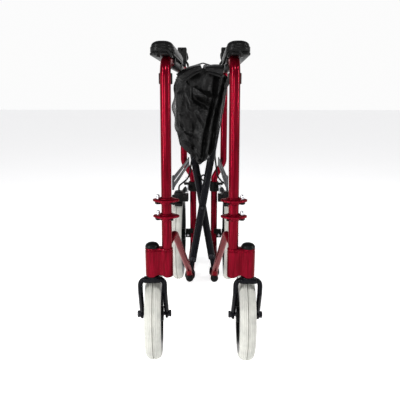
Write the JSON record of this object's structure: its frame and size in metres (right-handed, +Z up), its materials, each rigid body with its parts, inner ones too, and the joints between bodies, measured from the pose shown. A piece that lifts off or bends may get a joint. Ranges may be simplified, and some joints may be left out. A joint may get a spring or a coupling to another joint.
{
  "type": "folding rollator",
  "caption": "Side-folding wheeled walker and transport chair, shown folded, with cross brace, caster forks, armrests, sling seat, bag and push handles.",
  "frame": {"origin": "on the floor under the middle of the folded object's bounding box", "axes": "+Z up, the casters and armrest fronts face -Y, +X to the object's right side as seen from the front"},
  "size_m": [0.2965, 0.7284, 0.749],
  "materials": {
    "red_paint": "deep metallic red gloss",
    "black_plastic": "satin moulded black",
    "black_paint": "gloss black",
    "grey_tyre": "light grey solid tyre",
    "pad_foam": "soft black skin foam",
    "zinc_steel": "zinc plated",
    "grey_link": "grey metal",
    "black_cloth": "black woven nylon"
  },
  "bodies": {
    "frame_left": {"front_tube_L": "red_paint", "rear_frame_L": "red_paint", "rail_cap_L": "black_plastic", "caster_housing_L": "red_paint", "housing_cap_L": "black_plastic", "rear_axle_L": "zinc_steel", "arm_base_L": "black_plastic", "arm_pad_L": "pad_foam", "tube_clip_L": "black_plastic", "hanger_upper_L": "red_paint", "hanger_lower_L": "red_paint", "link_bars_L": "grey_link", "brake_bracket_L": "black_plastic", "brake_cable_L": "black_plastic"},
    "fork_left": {"caster_fork_L": "black_paint", "caster_axle_L": "zinc_steel"},
    "front_wheel_left": {"front_tyre_L": "grey_tyre", "front_rim_L": "black_plastic"},
    "rear_wheel_left": {"rear_tyre_L": "grey_tyre", "rear_rim_L": "black_plastic"},
    "shoe_left": {"brake_shoe_L": "black_plastic"},
    "handle_left": {"handle_stalk_L": "black_paint", "handle_head_L": "black_plastic", "grip_L": "pad_foam"},
    "lever_left": {"brake_lever_L": "black_paint"},
    "knob_left": {"height_knob_L": "black_plastic"},
    "frame_right": {"front_tube_R": "red_paint", "rear_frame_R": "red_paint", "rail_cap_R": "black_plastic", "caster_housing_R": "red_paint", "housing_cap_R": "black_plastic", "rear_axle_R": "zinc_steel", "arm_base_R": "black_plastic", "arm_pad_R": "pad_foam", "tube_clip_R": "black_plastic", "hanger_upper_R": "red_paint", "hanger_lower_R": "red_paint", "link_bars_R": "grey_link", "brake_bracket_R": "black_plastic", "brake_cable_R": "black_plastic"},
    "fork_right": {"caster_fork_R": "black_paint", "caster_axle_R": "zinc_steel"},
    "front_wheel_right": {"front_tyre_R": "grey_tyre", "front_rim_R": "black_plastic"},
    "rear_wheel_right": {"rear_tyre_R": "grey_tyre", "rear_rim_R": "black_plastic"},
    "shoe_right": {"brake_shoe_R": "black_plastic"},
    "handle_right": {"handle_stalk_R": "black_paint", "handle_head_R": "black_plastic", "grip_R": "pad_foam"},
    "lever_right": {"brake_lever_R": "black_paint"},
    "knob_right": {"height_knob_R": "black_plastic"},
    "cross_a": {"cross_bar_A": "black_paint", "seat_rail_A": "black_paint", "pivot_bolt": "zinc_steel"},
    "cross_b": {"cross_bar_B": "black_paint", "seat_rail_B": "black_paint"},
    "seat_soft": {"seat_sling": "black_cloth", "storage_bag": "black_cloth", "lift_strap": "black_cloth"}
  },
  "joints": [
    {"name": "fold", "type": "hinge", "parent": "frame_left", "child": "cross_a", "pos_m": [-0.0345, -0.033, 0.11], "axis": [0, 1, 0], "range_deg": [0, 26.4]},
    {"name": "brace_pivot", "type": "hinge", "parent": "cross_a", "child": "cross_b", "pos_m": [0, -0.02, 0.30984], "axis": [0, 1, 0], "range_deg": [-52.8, 0]},
    {"name": "right_rail_pivot", "type": "hinge", "parent": "cross_b", "child": "frame_right", "pos_m": [0.0345, -0.0095, 0.11], "axis": [0, 1, 0], "range_deg": [0, 26.4]},
    {"name": "seat_level", "type": "hinge", "parent": "cross_a", "child": "seat_soft", "pos_m": [0, -0.02, 0.30984], "axis": [0, 1, 0], "range_deg": [-26.4, 0]},
    {"name": "caster_swivel_left", "type": "hinge", "parent": "frame_left", "child": "fork_left", "pos_m": [-0.1045, -0.306, 0.25], "axis": [0, 0, 1], "continuous": true},
    {"name": "front_wheel_spin_left", "type": "hinge", "parent": "fork_left", "child": "front_wheel_left", "pos_m": [-0.10934, -0.25822, 0.104], "axis": [0.9976, 0.0698, 0], "continuous": true},
    {"name": "rear_wheel_spin_left", "type": "hinge", "parent": "frame_left", "child": "rear_wheel_left", "pos_m": [-0.083, 0.216, 0.15], "axis": [1, 0, 0], "continuous": true},
    {"name": "handle_height_left", "type": "slide", "parent": "frame_left", "child": "handle_left", "axis": [0, 0, 1], "range_m": [0, 0.15]},
    {"name": "brake_lever_left", "type": "hinge", "parent": "handle_left", "child": "lever_left", "pos_m": [-0.065, 0.235, 0.701], "axis": [1, 0, 0], "range_deg": [0, 8]},
    {"name": "brake_shoe_left", "type": "hinge", "parent": "frame_left", "child": "shoe_left", "pos_m": [-0.091, 0.108, 0.304], "axis": [1, 0, 0], "range_deg": [0, 12]},
    {"name": "height_knob_left", "type": "hinge", "parent": "frame_left", "child": "knob_left", "pos_m": [-0.064, 0.236, 0.64], "axis": [0, 1, 0], "continuous": true},
    {"name": "caster_swivel_right", "type": "hinge", "parent": "frame_right", "child": "fork_right", "pos_m": [0.1045, -0.306, 0.25], "axis": [0, 0, 1], "continuous": true},
    {"name": "front_wheel_spin_right", "type": "hinge", "parent": "fork_right", "child": "front_wheel_right", "pos_m": [0.106, -0.258, 0.104], "axis": [1, 0, 0], "continuous": true},
    {"name": "rear_wheel_spin_right", "type": "hinge", "parent": "frame_right", "child": "rear_wheel_right", "pos_m": [0.083, 0.216, 0.15], "axis": [1, 0, 0], "continuous": true},
    {"name": "handle_height_right", "type": "slide", "parent": "frame_right", "child": "handle_right", "axis": [0, 0, 1], "range_m": [0, 0.15]},
    {"name": "brake_lever_right", "type": "hinge", "parent": "handle_right", "child": "lever_right", "pos_m": [0.065, 0.235, 0.701], "axis": [1, 0, 0], "range_deg": [0, 8]},
    {"name": "brake_shoe_right", "type": "hinge", "parent": "frame_right", "child": "shoe_right", "pos_m": [0.091, 0.108, 0.304], "axis": [1, 0, 0], "range_deg": [0, 12]},
    {"name": "height_knob_right", "type": "hinge", "parent": "frame_right", "child": "knob_right", "pos_m": [0.064, 0.236, 0.64], "axis": [0, 1, 0], "continuous": true}
  ],
  "couplings": [
    {"joint": "brace_pivot", "follows": "fold", "ratio": -2},
    {"joint": "right_rail_pivot", "follows": "fold", "ratio": 1},
    {"joint": "seat_level", "follows": "fold", "ratio": -1},
    {"joint": "brake_shoe_left", "follows": "brake_lever_left", "ratio": 1.5},
    {"joint": "brake_shoe_right", "follows": "brake_lever_right", "ratio": 1.5}
  ]
}
